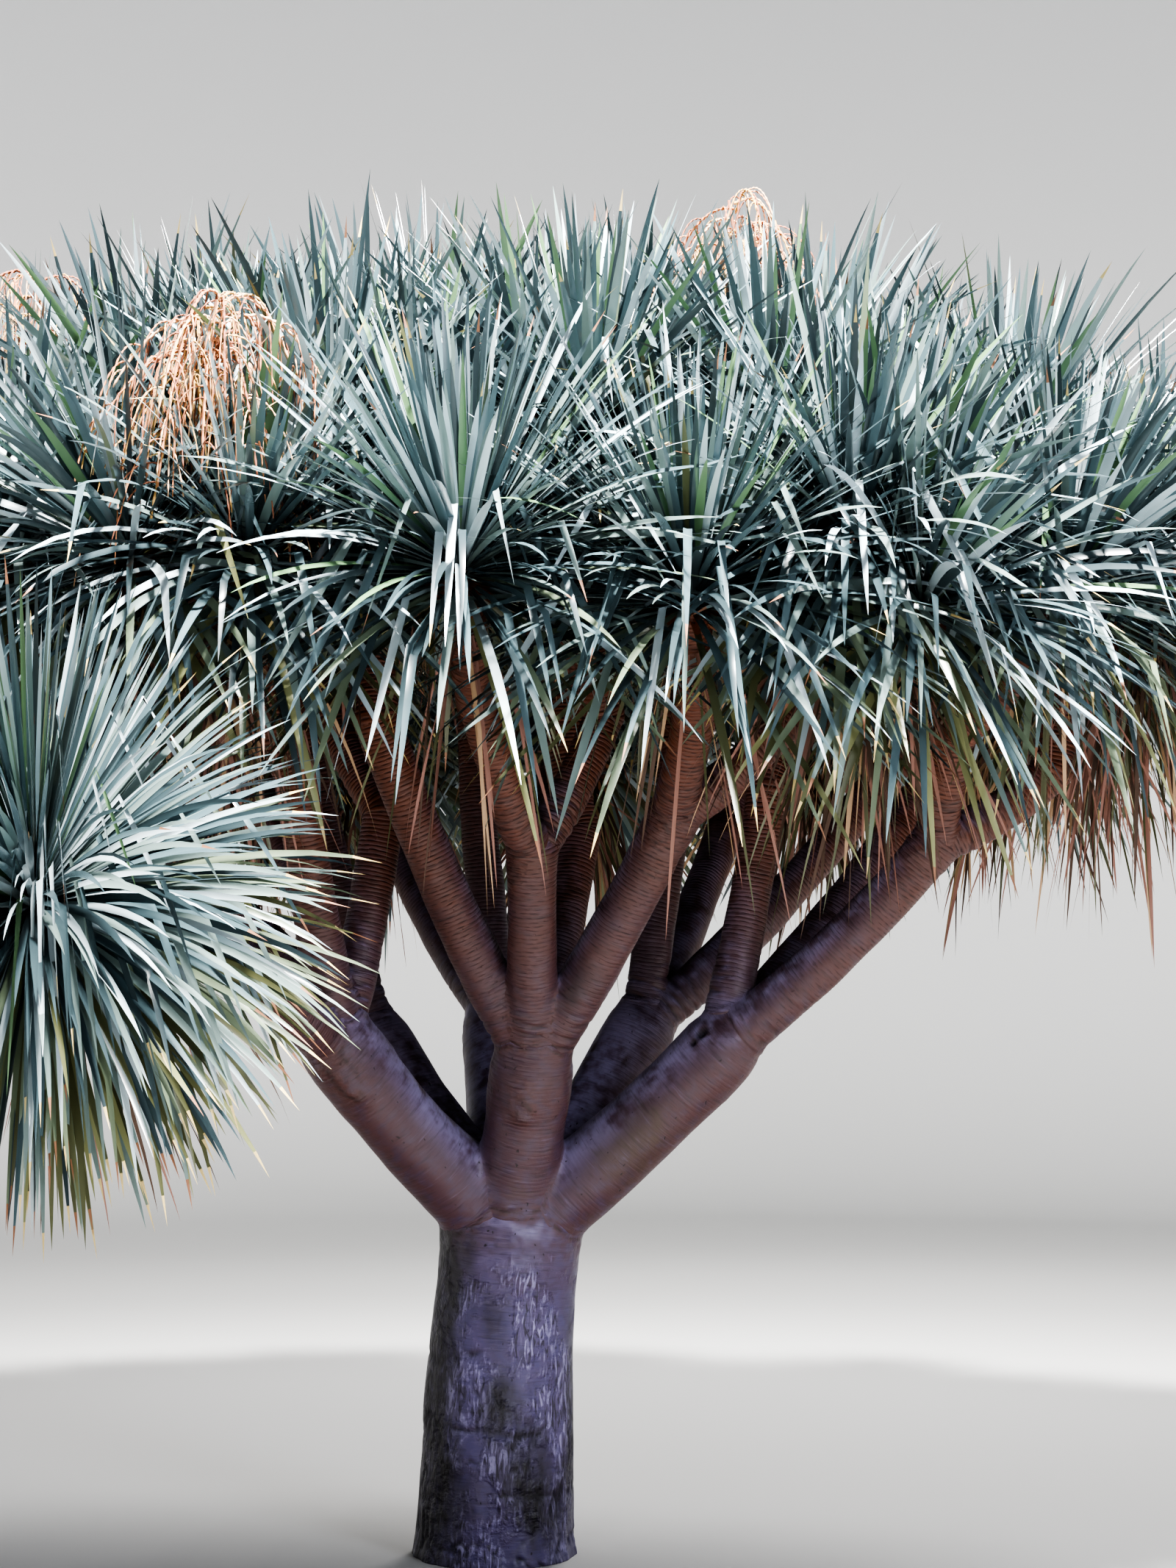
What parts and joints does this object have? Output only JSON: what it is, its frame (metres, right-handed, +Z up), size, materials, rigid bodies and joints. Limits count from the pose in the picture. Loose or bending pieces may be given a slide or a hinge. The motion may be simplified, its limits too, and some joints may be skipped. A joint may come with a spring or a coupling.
{
  "type": "dragon tree",
  "caption": "Rooted dragon tree: stout trunk forking into boughs and limbs, under an umbrella of sword-leaf rosettes with dried flower stalks.",
  "frame": {"origin": "middle of the flat cut at ground level under the trunk", "axes": "+Z up along the trunk, -Y towards the side seen in the picture, +X to the viewer's right"},
  "size_m": [5.3363, 5.146, 4.088],
  "materials": {
    "trunk_bark": "grey-violet bark, cracked lengthwise and ringed, dull",
    "bough_bark": "mauve-brown bark with fine rings, dull",
    "limb_bark": "red-brown bark with rings of leaf scars, dull",
    "foliage": "glaucous blue-green sword leaves, satin"
  },
  "bodies": {
    "root": {"trunk": "trunk_bark", "bough_back": "bough_bark", "bough_back_left": "bough_bark", "bough_back_right": "bough_bark", "bough_front": "bough_bark", "bough_left": "bough_bark", "bough_right": "bough_bark", "limb_back_1": "limb_bark", "limb_back_2": "limb_bark", "limb_back_3": "limb_bark", "limb_back_left_1": "limb_bark", "limb_back_left_2": "limb_bark", "limb_back_left_3": "limb_bark", "limb_back_right_1": "limb_bark", "limb_back_right_2": "limb_bark", "limb_back_right_3": "limb_bark", "limb_front_1": "limb_bark", "limb_front_2": "limb_bark", "limb_front_2_left": "limb_bark", "limb_front_2_right": "limb_bark", "limb_front_3": "limb_bark", "limb_front_3_left": "limb_bark", "limb_front_3_right": "limb_bark", "limb_front_4": "limb_bark", "limb_left_1": "limb_bark", "limb_left_2": "limb_bark", "limb_left_3": "limb_bark", "limb_left_4": "limb_bark", "limb_right_1": "limb_bark", "limb_right_2": "limb_bark", "limb_right_2_far": "limb_bark", "limb_right_2_near": "limb_bark", "limb_right_3": "limb_bark", "foliage_back_1": "foliage", "foliage_back_2": "foliage", "foliage_back_3": "foliage", "foliage_back_left_1": "foliage", "foliage_back_left_2": "foliage", "foliage_back_left_3": "foliage", "foliage_back_right_1": "foliage", "foliage_back_right_2": "foliage", "foliage_back_right_3": "foliage", "foliage_front_1": "foliage", "foliage_front_2_left": "foliage", "foliage_front_2_right": "foliage", "foliage_front_3_left": "foliage", "foliage_front_3_right": "foliage", "foliage_front_4": "foliage", "foliage_left_1": "foliage", "foliage_left_2": "foliage", "foliage_left_3": "foliage", "foliage_left_4": "foliage", "foliage_right_1": "foliage", "foliage_right_2_far": "foliage", "foliage_right_2_near": "foliage", "foliage_right_3": "foliage"}
  },
  "joints": []
}
